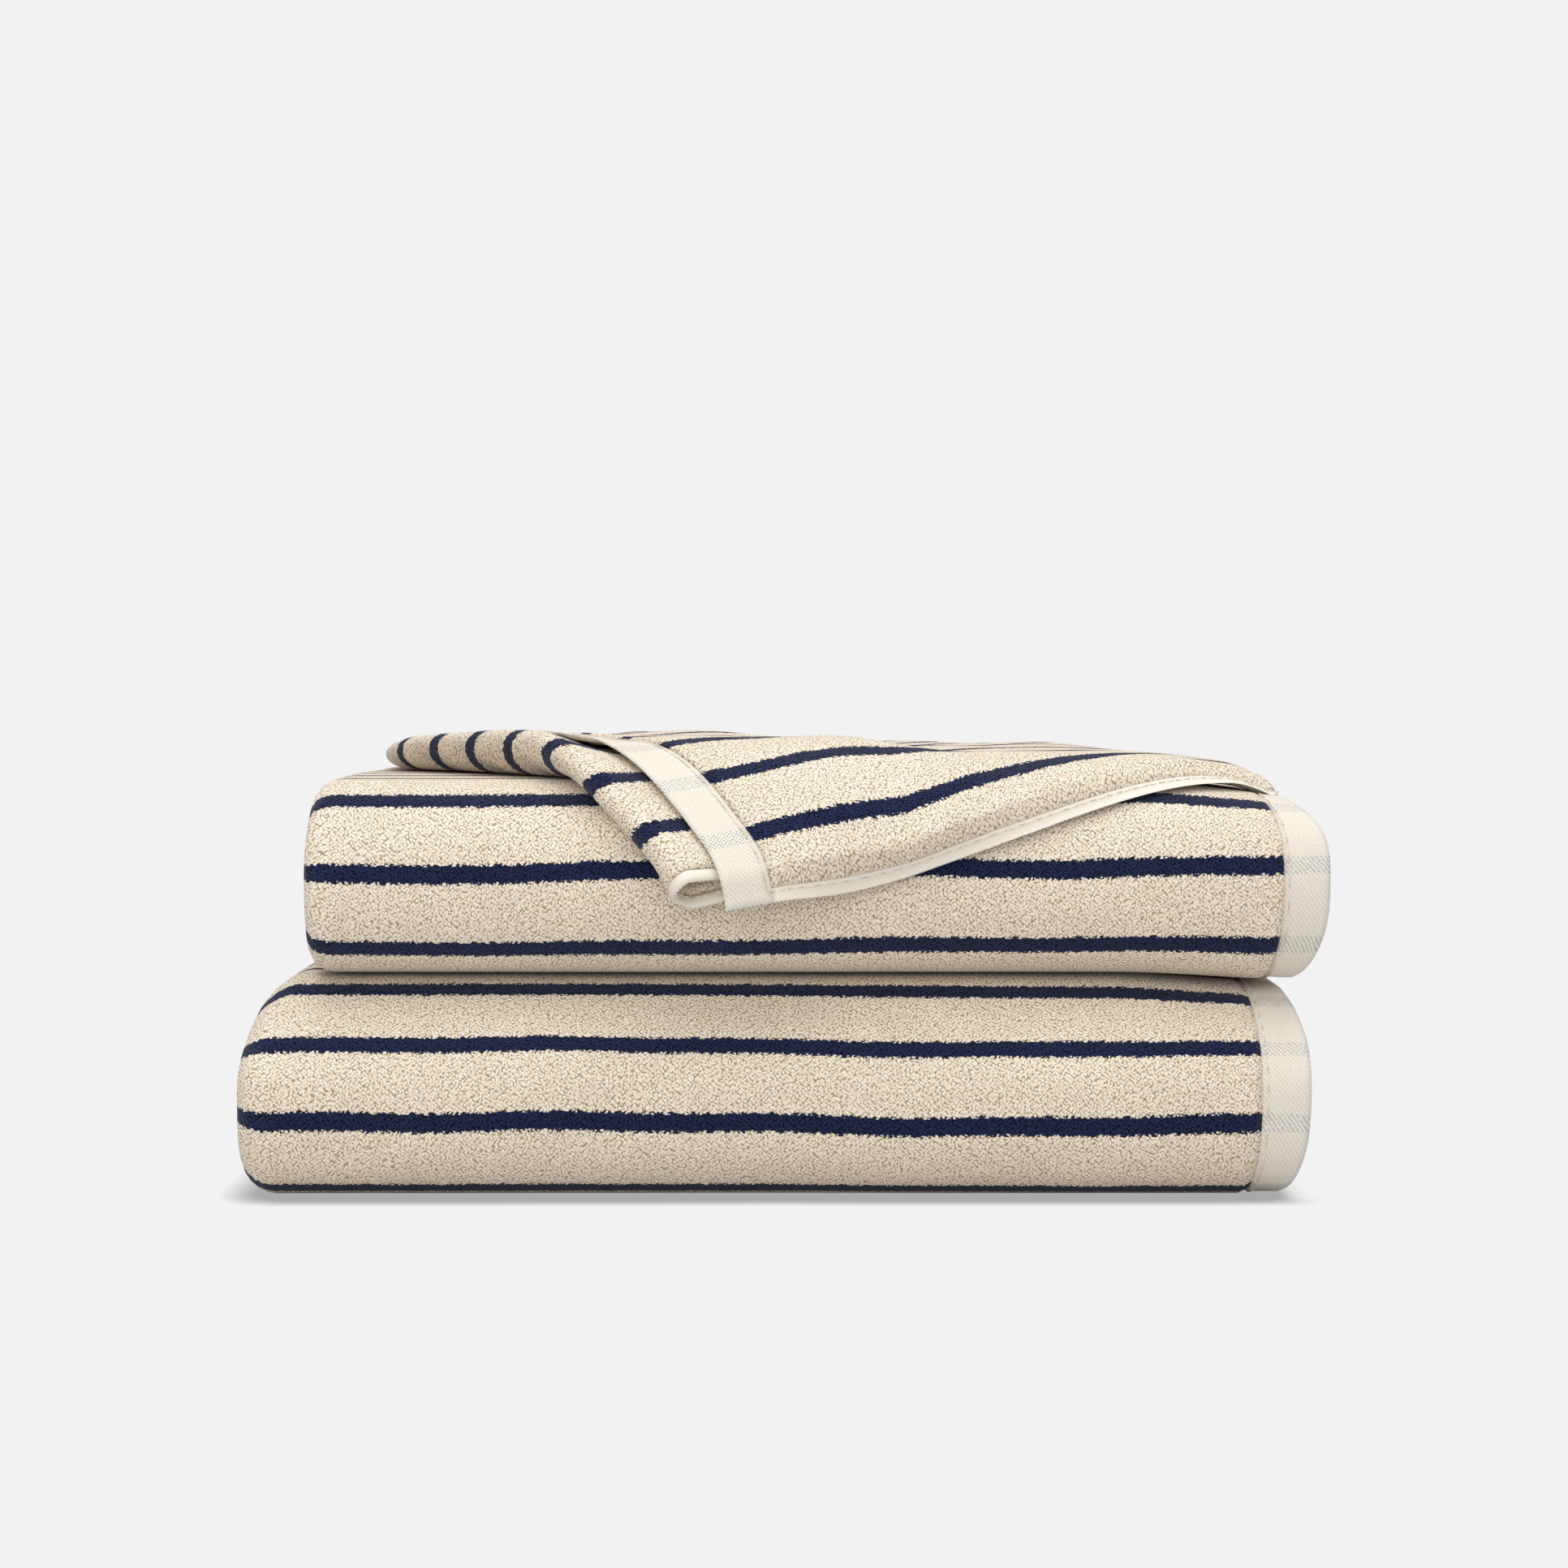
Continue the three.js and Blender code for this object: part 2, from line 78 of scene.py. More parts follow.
class ClothSettings(bpy.types.PropertyGroup):
    """The woven cloth that every towel is cut from."""

    stripe_pitch: FloatProperty(
        name="Stripe pitch", description="From one navy stripe to the next",
        default=26.4 * MM, unit="LENGTH",
    )
    stripe_width: FloatProperty(
        name="Stripe width", description="Width of a navy stripe",
        default=6.2 * MM, unit="LENGTH",
    )
    loop_length: FloatProperty(
        name="Loop length", description="Length of one pile loop as it lies",
        default=1.25 * MM, unit="LENGTH",
    )
    loop_width: FloatProperty(
        name="Loop width", description="Width of one pile loop",
        default=0.60 * MM, unit="LENGTH",
    )
    end_hem: FloatProperty(
        name="End hem", description="Width of the flat hem across each end",
        default=16 * MM, unit="LENGTH",
    )
    side_hem: FloatProperty(
        name="Side hem", description="Width of the turned hem along each side",
        default=4.6 * MM, unit="LENGTH",
    )
    stitch_length: FloatProperty(
        name="Stitch length", description="Length of one stitch",
        default=2.4 * MM, unit="LENGTH",
    )
    stitch_spacing: FloatProperty(
        name="Stitch spacing", description="From one stitch to the next",
        default=3.2 * MM, unit="LENGTH",
    )
    cream: FloatVectorProperty(
        name="Cream", description="Colour of the undyed pile",
        subtype="COLOR", size=3, default=srgb("#ECE0CF"),
    )
    navy: FloatVectorProperty(
        name="Navy", description="Colour of the stripes",
        subtype="COLOR", size=3, default=srgb("#151E3C"),
    )
    off_white: FloatVectorProperty(
        name="Off-white", description="Colour of the flat hems",
        subtype="COLOR", size=3, default=srgb("#E9E2D5"),
    )


class BathTowelSettings(bpy.types.PropertyGroup):
    """A folded bath towel."""

    width: FloatProperty(
        name="Width", description="Flat width, across the stripes", default=0.700, unit="LENGTH",
    )
    length: FloatProperty(
        name="Length", description="Flat length, along the stripes", default=1.400, unit="LENGTH",
    )
    thickness: FloatProperty(
        name="Cloth thickness", description="Thickness of the terry with its pile",
        default=5.0 * MM, unit="LENGTH",
    )


class HandTowelSettings(bpy.types.PropertyGroup):
    """The draped hand towel."""

    width: FloatProperty(
        name="Width", description="Flat width, across the stripes", default=0.305, unit="LENGTH",
    )
    length: FloatProperty(
        name="Length", description="Flat length, along the stripes", default=0.508, unit="LENGTH",
    )
    thickness: FloatProperty(
        name="Cloth thickness", description="Thickness of the terry with its pile",
        default=4.0 * MM, unit="LENGTH",
    )
    folded_length: FloatProperty(
        name="Folded length", description="From the rolled fold to the far fold",
        default=0.212, unit="LENGTH",
    )
    flap_start: FloatProperty(
        name="Flap start", description="From the roll to the end hem of the top layer",
        default=0.016, unit="LENGTH",
    )


class StageSettings(bpy.types.PropertyGroup):
    """Camera and light."""

    eye_height: FloatProperty(
        name="Eye height", description="Height of the camera above the floor",
        default=0.185, unit="LENGTH",
    )
    distance: FloatProperty(
        name="Distance", description="From the camera to the front of the stack",
        default=1.2, unit="LENGTH",
    )
    tilt: FloatProperty(
        name="Tilt", description="How far the camera looks down",
        default=math.radians(2.25), subtype="ANGLE",
    )
    focal_length: FloatProperty(
        name="Focal length", description="Focal length in millimetres", default=85.0,
    )
    room_light: FloatProperty(
        name="Room light", description="Even light from all round", default=0.55,
    )


# Shape of the cloth


def spread(start, end, step):
    """Evenly spaced values from start to end, no further apart than step."""
    count = max(int(math.ceil(abs(end - start) / step - 1e-9)), 1)
    return np.linspace(start, end, count + 1)


def merged(*stations):
    """The given stations in one sorted row, without doubles."""
    return np.unique(np.concatenate(stations).round(7))


def smooth(value, low, high):
    """0 below low, 1 above high and an S-curve between."""
    share = np.clip((value - low) / (high - low), 0, 1)
    return share * share * (3 - 2 * share)


def creases(a, b, size, seed, octaves=3):
    """Soft bumps over the plane (a, b), about -1 to 1, from turned waves of falling size."""
    rng = np.random.default_rng(seed)
    total = np.zeros(np.broadcast(a, b).shape)
    weight = 0.0
    for octave in range(octaves):
        for _ in range(5):
            turn = rng.uniform(0, math.tau)
            phase = rng.uniform(0, math.tau)
            wave = size * rng.uniform(0.7, 1.4) / 2 ** octave
            along = a * math.cos(turn) + b * math.sin(turn)
            total += np.sin(math.tau * along / wave + phase) / 2 ** octave
        weight += 2.2 / 2 ** octave
    return total / weight


class Route:
    """A line in a plane, built from straights and turns, with the flat distance along it."""

    def __init__(self, x, y):
        self.points = [(x, y)]

    def straight(self, x, y, step):
        """Goes straight to a point."""
        start = self.points[-1]
        share = spread(0, 1, step / math.dist(start, (x, y)))[1:]
        self.points += [(start[0] + (x - start[0]) * s, start[1] + (y - start[1]) * s) for s in share]
        return self

    def turn(self, centre, radius, start, end, steps, squareness=2.0):
        """Goes round a centre: squareness 2 is a circle and more is a rounded square."""
        for angle in np.radians(np.linspace(start, end, steps + 1)[1:]):
            c, s = math.cos(angle), math.sin(angle)
            reach = radius * (abs(c) ** squareness + abs(s) ** squareness) ** (-1 / squareness)
            self.points.append((centre[0] + reach * c, centre[1] + reach * s))
        return self

    def finish(self, length):
        """Points, normals to the right of travel, and distances scaled to the flat length."""
        points = np.array(self.points)
        run = np.gradient(points[:, :2], axis=0)
        run /= np.linalg.norm(run, axis=1)[:, None]
        normals = np.stack([run[:, 1], -run[:, 0]], axis=1)
        gaps = np.linalg.norm(np.diff(points[:, :2], axis=0), axis=1)
        distance = np.concatenate([[0], np.cumsum(gaps)])
        return points, normals, distance * (length / distance[-1])


class FoldedTowel:
    """Maps a flat bath towel to its folded place. Sizes through the stack are in pitches, a pitch
    being the height that one layer takes up."""

    nose = 6  # pitches, radius of the front fold's outer face
    back_fold = 4  # pitches, the same for the tucked back fold
    left_reach = 90 * MM
    right_reach = 45 * MM
    face_depth = 45 * MM
    droop_reach = 70 * MM
    settling = 0.55 * MM

    def __init__(self, node, settings, shape):
        low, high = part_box(node)
        self.left, self.front, self.bottom = low
        self.right, self.back, self.top = high
        self.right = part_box(node.replace("_terry", "_end_hem_outer"))[1].x
        self.settings = settings
        self.shape = shape
        self.height = self.top - self.bottom
        p = self.pitch = self.height / (PASSES * LAYERS_PER_PASS)
        self.nose_y = self.front + self.nose * p
        self.fold_y = self.back - self.back_fold * p
        self.nose_start = shape["top_pass"]
        self.nose_end = self.nose_start + math.pi * self.nose * p
        self.fold_start = self.nose_end + self.fold_y - self.nose_y
        self.fold_end = self.fold_start + math.pi * self.back_fold * p

    def length_route(self, step):
        """The quartered length, as places along X and offsets through the layers of one pass."""
        p = self.pitch
        left = self.left + 2 * p - 2.5 * MM
        inner_fold = self.right - 6 * MM
        inner_end = self.right - 1.5 * MM
        coarse = 3 * step
        route = Route(self.right, 1.5 * p)
        route.straight(left, 1.5 * p, step)
        route.turn((left, 0), 1.5 * p, 90, 270, 12, self.shape["left_squareness"])
        route.straight(inner_fold, -1.5 * p, coarse)
        route.turn((inner_fold, -p), 0.5 * p, -90, 90, 6)
        route.straight(left, -0.5 * p, coarse)
        route.turn((left, 0), 0.5 * p, 270, 90, 6)
        route.straight(inner_end, 0.5 * p, coarse)
        return route.finish(self.settings.length)

    def across(self, t, offset):
        """Place in the YZ plane of flat distance t across the cloth, offset out from the pass."""
        p = self.pitch
        nose = np.clip((t - self.nose_start) / (self.nose * p), 0, math.pi)
        fold = np.clip((t - self.fold_start) / (self.back_fold * p), 0, math.pi)
        fullness = np.where(nose > math.pi / 2, self.shape["bottom_belly"], self.shape["top_belly"])
        belly = 1 + fullness * np.sin(2 * nose) ** 2
        pass_middle = LAYERS_PER_PASS / 2
        nose_reach = ((self.nose - pass_middle) * p + offset) * belly
        fold_reach = (self.back_fold - pass_middle) * p + offset
        y = self.nose_y - nose_reach * np.sin(nose)
        y = y + np.maximum(self.nose_start - t, 0)
        y = np.where(t > self.nose_end, self.nose_y + (t - self.nose_end), y)
        y = np.where(t > self.fold_start, self.fold_y + fold_reach * np.sin(fold), y)
        y = np.where(t > self.fold_end, self.fold_y - (t - self.fold_end), y)
        z = self.nose * p + nose_reach * np.cos(nose)
        z = np.where(t > self.nose_end, pass_middle * p - offset, z)
        z = np.where(t > self.fold_start, self.back_fold * p - fold_reach * np.cos(fold), z)
        return y, z

    def settle(self, x, y, z, t):
        """Slopes the folded end, rounds the hemmed end, lets the nose wander and flattens the base."""
        shape, seed = self.shape, self.shape["seed"]
        middle = self.height / 2
        rise = (z - middle) / middle
        above, below = np.clip(rise, 0, 1), np.clip(-rise, 0, 1)
        into_left = np.clip((self.left + self.left_reach - x) / self.left_reach, 0, 1)
        into_right = np.clip((x - self.right + self.right_reach) / self.right_reach, 0, 1)
        x = x + shape["left_slope"] * into_left ** 2 * above ** 2
        x = x - into_right ** 2 * (shape["top_pull"] * above ** 3 + shape["bottom_pull"] * below ** 3)
        facing = np.clip((self.front + self.face_depth - y) / self.face_depth, 0, 1)
        wander = 1.1 * MM * creases(x, t * 0.6, 190 * MM, seed, 2)
        fine = 0.25 * MM * creases(x, t, 30 * MM, seed + 1, 2)
        y = y + facing * (wander + fine + 0.8 * MM)
        waviness = 1.3 * MM * creases(x, t * 0.3, 160 * MM, seed + 2, 2)
        z = z + facing * waviness * (1 - rise ** 2)
        droop = smooth(x, self.right - self.droop_reach, self.right)
        back = smooth(y, -40 * MM, 100 * MM)
        z = z - (shape["top_sag"] * droop + BACK_SAG * back) * above ** 2
        z = z - (shape["bottom_sag"] * droop + self.settling) * below ** 2
        lowest = -shape["bottom_sag"] - self.settling - 0.01 * MM
        return x, y, np.clip(z, lowest, None) + self.bottom

    def place(self, route, t, side):
        """Grid of points for stations along the route and distances t, side being the signed
        distance out of the cloth's middle."""
        points, normals = route
        run = points[:, None, :] + normals[:, None, :] * side[..., None]
        t_grid = np.broadcast_to(t[None, :], side.shape)
        skew = self.shape["skew"] * smooth(run[..., 0], -50 * MM, 170 * MM)
        y, z = self.across(t_grid - skew, run[..., 1])
        x, y, z = self.settle(run[..., 0], y, z, t_grid)
        return np.stack([x, y, z], axis=-1)

    def across_stations(self, start, end):
        """Distances across the cloth, closest together round the front fold."""
        marks = [start, self.nose_start - 30 * MM, self.nose_end, self.fold_start, self.fold_end, end]
        steps = [7 * MM, 2.8 * MM, 8 * MM, 4 * MM, 9 * MM]
        return merged(*(spread(a, b, step) for a, b, step in zip(marks, marks[1:], steps)))


def sheet_mesh(name, upper, lower, u, t):
    """A closed sheet between two grids of points, with its flat place in metres as its UV map."""
    rows, columns = upper.shape[:2]
    verts = np.concatenate([upper.reshape(-1, 3), lower.reshape(-1, 3)])
    index = np.arange(rows * columns).reshape(rows, columns)
    under = rows * columns
    top = np.stack([index[:-1, :-1], index[1:, :-1], index[1:, 1:], index[:-1, 1:]], -1).reshape(-1, 4)
    rim = np.concatenate([index[0, :-1], index[:-1, -1], index[-1, :0:-1], index[:0:-1, 0]])
    after = np.roll(rim, -1)
    walls = np.stack([rim, after, after + under, rim + under], -1)
    faces = np.concatenate([top, top[:, ::-1] + under, walls])
    a, b, c, d = (verts[faces[:, k]] for k in range(4))
    volume = np.einsum("ij,ij->", a, np.cross(b, c) + np.cross(c, d))
    if volume < 0:
        faces = faces[:, ::-1]
    mesh = bpy.data.meshes.new(name)
    mesh.from_pydata(verts.tolist(), [], faces.tolist())
    flat = np.stack(np.meshgrid(u, t, indexing="ij"), -1).reshape(-1, 2)
    flat = np.concatenate([flat, flat])
    layer = mesh.uv_layers.new(name=CLOTH_MAP)
    corners = np.empty(len(mesh.loops), dtype=np.int32)
    mesh.loops.foreach_get("vertex_index", corners)
    layer.data.foreach_set("uv", flat[corners].astype(np.float32).ravel())
    mesh.shade_smooth()
    mesh.validate()
    piece = bpy.data.objects.new(name, mesh)
    bpy.context.scene.collection.objects.link(piece)
    return piece


def edge_taper(values, start, end, width, floor):
    """1 inside, falling to floor within width of either edge, as pile does where it stops."""
    nearest = np.minimum(np.abs(values - start), np.abs(end - values))
    share = np.clip(nearest / width, 0, 1)
    return floor + (1 - floor) * np.sqrt(1 - (1 - share) ** 2)


# Materials


def add_node(tree, kind, settings=None, inputs=None):
    """Adds a node, sets its properties, and sets or links its inputs."""
    node = tree.nodes.new(kind)
    for name, value in (settings or {}).items():
        setattr(node, name, value)
    for key, value in (inputs or {}).items():
        if isinstance(value, bpy.types.NodeSocket):
            tree.links.new(value, node.inputs[key])
        else:
            node.inputs[key].default_value = value
    return node


def new_material(name):
    """An empty node material and its tree."""
    material = bpy.data.materials.new(name)
    material.use_nodes = True
    material.node_tree.nodes.clear()
    return material, material.node_tree


def shade(colour):
    """A linear colour with full alpha, as colour sockets take it."""
    return [*colour, 1.0]


def scaled(colour, factor):
    """A colour made lighter or darker."""
    return [min(channel * factor, 1.0) for channel in colour]


def stripe_mask(tree, across, cloth, first, jag):
    """1 on a stripe and 0 between, from the distance across the cloth, moved by jag."""
    moved = add_node(tree, "ShaderNodeMath", {"operation": "ADD"}, {0: across, 1: jag})
    shifted = add_node(tree, "ShaderNodeMath", {"operation": "ADD"}, {
        0: moved.outputs[0], 1: cloth.stripe_pitch / 2 - first})
    wrapped = add_node(tree, "ShaderNodeMath", {"operation": "FLOORED_MODULO"}, {
        0: shifted.outputs[0], 1: cloth.stripe_pitch})
    centred = add_node(tree, "ShaderNodeMath", {"operation": "SUBTRACT"}, {
        0: wrapped.outputs[0], 1: cloth.stripe_pitch / 2})
    distance = add_node(tree, "ShaderNodeMath", {"operation": "ABSOLUTE"}, {0: centred.outputs[0]})
    half = cloth.stripe_width / 2
    return add_node(tree, "ShaderNodeMapRange", {"interpolation_type": "SMOOTHSTEP"}, {
        "Value": distance.outputs[0], "From Min": half - 0.12 * MM, "From Max": half + 0.12 * MM,
        "To Min": 1.0, "To Max": 0.0}).outputs[0]


def leaning_loops(tree, flat, size, lean):
    """Loops of one size that lean one way: their domed height and their random colour."""
    grain = add_node(tree, "ShaderNodeMapping", {"vector_type": "TEXTURE"}, {
        "Vector": flat, "Rotation": (0, 0, math.radians(lean)), "Scale": size})
    loops = add_node(tree, "ShaderNodeTexVoronoi", {"voronoi_dimensions": "2D"}, {
        "Vector": grain.outputs[0], "Scale": 1.0, "Randomness": 0.6})
    dome = add_node(tree, "ShaderNodeMapRange", {"interpolation_type": "SMOOTHSTEP"}, {
        "Value": loops.outputs["Distance"], "From Min": 0.12, "From Max": 0.66,
        "To Min": 1.0, "To Max": 0.0})
    return dome.outputs[0], loops.outputs["Color"]


def looped_terry(cloth, first_stripe):
    """Looped cotton terry: plump uncut loops, cream with yarn-dyed navy stripes, with painted shade in the
    gaps between loops and a painted highlight on the top of each loop.
    Gives the eye a dense rice-grain relief, ragged stripe edges and a soft bloom at grazing angles."""
    material, tree = new_material("Looped cotton terry")
    flat = add_node(tree, "ShaderNodeUVMap", {"uv_map": CLOTH_MAP}).outputs[0]
    across = add_node(tree, "ShaderNodeSeparateXYZ", None, {0: flat}).outputs[1]
    stir = add_node(tree, "ShaderNodeTexNoise", {"noise_dimensions": "2D"}, {
        "Vector": flat, "Scale": 1 / (5 * MM), "Detail": 1.0})
    centred = add_node(tree, "ShaderNodeVectorMath", {"operation": "SUBTRACT"}, {
        0: stir.outputs["Color"], 1: (0.5, 0.5, 0.5)})
    pushed = add_node(tree, "ShaderNodeVectorMath", {"operation": "MULTIPLY_ADD"}, {
        0: centred.outputs[0], 1: (1.2 * MM, 1.2 * MM, 0.0), 2: flat})
    size = (cloth.loop_length, cloth.loop_width, 1)
    left, right = (leaning_loops(tree, pushed.outputs[0], size, lean) for lean in (54, -48))
    patch = add_node(tree, "ShaderNodeTexNoise", {"noise_dimensions": "2D"}, {
        "Vector": flat, "Scale": 1 / (4.2 * MM), "Detail": 0.0})
    side = add_node(tree, "ShaderNodeMath", {"operation": "GREATER_THAN"}, {
        0: patch.outputs[0], 1: 0.5}).outputs[0]
    dome = add_node(tree, "ShaderNodeMix", None, {0: side, 2: left[0], 3: right[0]}).outputs[0]
    chance = add_node(tree, "ShaderNodeSeparateColor", None, {0: add_node(
        tree, "ShaderNodeMix", {"data_type": "RGBA"}, {0: side, 6: left[1], 7: right[1]}).outputs[2]})
    jag = add_node(tree, "ShaderNodeMath", {"operation": "MULTIPLY_ADD"}, {
        0: chance.outputs[0], 1: 1.3 * MM, 2: -0.65 * MM}).outputs[0]
    stripes = stripe_mask(tree, across, cloth, first_stripe, jag)
    cream = add_node(tree, "ShaderNodeValToRGB", None, {0: dome})
    navy = add_node(tree, "ShaderNodeValToRGB", None, {0: dome})
    # Each ramp paints shade into the gaps between loops at its low end and a painted highlight on the loop
    # tops at its high end.
    for ramp, base, painted_gap_shade, body, painted_loop_highlight in ((cream, cloth.cream, "#A58D6A", 0.94, 1.14),
                                         (navy, cloth.navy, "#060916", 0.75, 2.1)):
        elements = ramp.color_ramp.elements
        elements[0].color = shade(srgb(painted_gap_shade))
        elements[1].color = shade(scaled(base, painted_loop_highlight))
        middle = elements.new(0.34)
        middle.color = shade(scaled(base, body))
    weave = add_node(tree, "ShaderNodeMix", {"data_type": "RGBA"}, {
        0: stripes, 6: cream.outputs[0], 7: navy.outputs[0]})
    patches = add_node(tree, "ShaderNodeTexNoise", {"noise_dimensions": "2D"}, {
        "Vector": flat, "Scale": 1 / (28 * MM), "Detail": 2.0})
    tone = add_node(tree, "ShaderNodeMath", {"operation": "MULTIPLY_ADD"}, {
        0: chance.outputs[1], 1: 0.12, 2: 0.94})
    patchy = add_node(tree, "ShaderNodeMath", {"operation": "MULTIPLY_ADD"}, {
        0: patches.outputs[0], 1: 0.10, 2: tone.outputs[0]})
    level = add_node(tree, "ShaderNodeMath", {"operation": "SUBTRACT"}, {0: patchy.outputs[0], 1: 0.04})
    tinted = add_node(tree, "ShaderNodeVectorMath", {"operation": "SCALE"}, {
        0: weave.outputs[2], "Scale": level.outputs[0]})
    bump = add_node(tree, "ShaderNodeBump", None, {
        "Height": dome, "Strength": 0.7, "Distance": 0.30 * MM})
    surface = add_node(tree, "ShaderNodeBsdfPrincipled", None, {
        "Base Color": tinted.outputs[0], "Roughness": 0.95, "IOR": 1.5, "Normal": bump.outputs[0],
        "Specular IOR Level": 0.15, "Sheen Weight": 0.12, "Sheen Roughness": 0.45})
    add_node(tree, "ShaderNodeOutputMaterial", None, {0: surface.outputs[0]})
    return material


def flat_woven_hem(cloth, first_stripe, relief):
    """Flat-woven cotton hem: off-white twill ribs with pin dots where the stripes' yarn passes through.
    Gives the eye a smooth, fine band beside the rough pile; relief 1 is full ribs, and relief also sets the
    painted shade in the dips between the ribs."""
    material, tree = new_material("Flat-woven cotton hem")
    flat = add_node(tree, "ShaderNodeUVMap", {"uv_map": CLOTH_MAP}).outputs[0]
    across = add_node(tree, "ShaderNodeSeparateXYZ", None, {0: flat}).outputs[1]
    ribs = add_node(tree, "ShaderNodeMapping", {"vector_type": "TEXTURE"}, {
        "Vector": flat, "Rotation": (0, 0, math.radians(38)), "Scale": (1.25 * MM, 0.85 * MM, 1)})
    knots = add_node(tree, "ShaderNodeTexVoronoi", {"voronoi_dimensions": "2D"}, {
        "Vector": ribs.outputs[0], "Scale": 1.0, "Randomness": 0.18})
    dome = add_node(tree, "ShaderNodeMapRange", {"interpolation_type": "SMOOTHSTEP"}, {
        "Value": knots.outputs["Distance"], "From Min": 0.1, "From Max": 0.68,
        "To Min": 1.0, "To Max": 0.0}).outputs[0]
    stripes = stripe_mask(tree, across, cloth, first_stripe, 0.0)
    pins = add_node(tree, "ShaderNodeMath", {"operation": "LESS_THAN"}, {0: dome, 1: 0.30})
    dotted = add_node(tree, "ShaderNodeMath", {"operation": "MULTIPLY"}, {0: stripes, 1: pins.outputs[0]})
    faint = add_node(tree, "ShaderNodeMath", {"operation": "MULTIPLY"}, {0: dotted.outputs[0], 1: 0.55})
    # Painted shade: the dips between the twill knots are darker, by up to a fifth at full relief.
    ground_with_painted_shade = add_node(tree, "ShaderNodeMix", {"data_type": "RGBA"}, {
        0: dome, 6: shade(scaled(cloth.off_white, 1 - 0.2 * relief)), 7: shade(cloth.off_white)})
    dyed = add_node(tree, "ShaderNodeMix", {"data_type": "RGBA"}, {
        0: faint.outputs[0], 6: ground_with_painted_shade.outputs[2], 7: shade(srgb("#7C869A"))})
    bump = add_node(tree, "ShaderNodeBump", None, {
        "Height": dome, "Strength": 0.5 * relief, "Distance": 0.22 * MM})
    surface = add_node(tree, "ShaderNodeBsdfPrincipled", None, {
        "Base Color": dyed.outputs[2], "Roughness": 0.85, "IOR": 1.5, "Normal": bump.outputs[0],
        "Specular IOR Level": 0.2, "Sheen Weight": 0.08, "Sheen Roughness": 0.4})
    add_node(tree, "ShaderNodeOutputMaterial", None, {0: surface.outputs[0]})
    return material


def sewing_thread(cloth):
    """Spun cotton thread: twisted plies seen as fine slanting ridges with painted shade in the grooves
    between them, a little glossier than the hem.
    """
    material, tree = new_material("Spun cotton thread")
    place = add_node(tree, "ShaderNodeTexCoord").outputs["Object"]
    plies = add_node(tree, "ShaderNodeTexWave", {"bands_direction": "DIAGONAL"}, {
        "Vector": place, "Scale": 1 / (0.6 * MM) / 20, "Distortion": 1.0})
    # Painted shade: the grooves between the plies are tan and their crests off-white.
    tone = add_node(tree, "ShaderNodeMix", {"data_type": "RGBA"}, {
        0: plies.outputs["Fac"], 6: shade(srgb("#CDBFA6")), 7: shade(scaled(cloth.off_white, 0.97))})
    bump = add_node(tree, "ShaderNodeBump", None, {
        "Height": plies.outputs["Fac"], "Strength": 0.3, "Distance": 0.1 * MM})
    surface = add_node(tree, "ShaderNodeBsdfPrincipled", None, {
        "Base Color": tone.outputs[2], "Roughness": 0.6, "IOR": 1.5, "Normal": bump.outputs[0],
        "Specular IOR Level": 0.3})
    add_node(tree, "ShaderNodeOutputMaterial", None, {0: surface.outputs[0]})
    return material


def backdrop_paper():
    """Seamless background paper: matt and pale. It glows evenly to the eye, with a painted shadow from an
    ambient-occlusion node darkening it where the towels stand on it; other rays see plain diffuse paper."""
    material, tree = new_material("Seamless background paper")
    # Painted shadow: ambient occlusion darkens the glowing paper close to the towels.
    painted_contact_shadow = add_node(tree, "ShaderNodeAmbientOcclusion", {"samples": 16}, {"Distance": 12 * MM})
    tone = add_node(tree, "ShaderNodeMapRange", None, {
        "Value": painted_contact_shadow.outputs["AO"], "From Min": 0.35, "From Max": 1.0, "To Min": 0.45, "To Max": 1.0})
    glow = add_node(tree, "ShaderNodeVectorMath", {"operation": "SCALE"}, {
        0: srgb(PAPER), "Scale": tone.outputs[0]})
    seen = add_node(tree, "ShaderNodeEmission", None, {0: glow.outputs[0], 1: 1.0})
    paper = add_node(tree, "ShaderNodeBsdfDiffuse", None, {0: shade(srgb("#D2D2D2"))})
    direct = add_node(tree, "ShaderNodeLightPath").outputs["Is Camera Ray"]
    both = add_node(tree, "ShaderNodeMixShader", None, {0: direct, 1: paper.outputs[0], 2: seen.outputs[0]})
    add_node(tree, "ShaderNodeOutputMaterial", None, {0: both.outputs[0]})
    return material


# Stitches

THREAD_RADIUS = 0.28 * MM


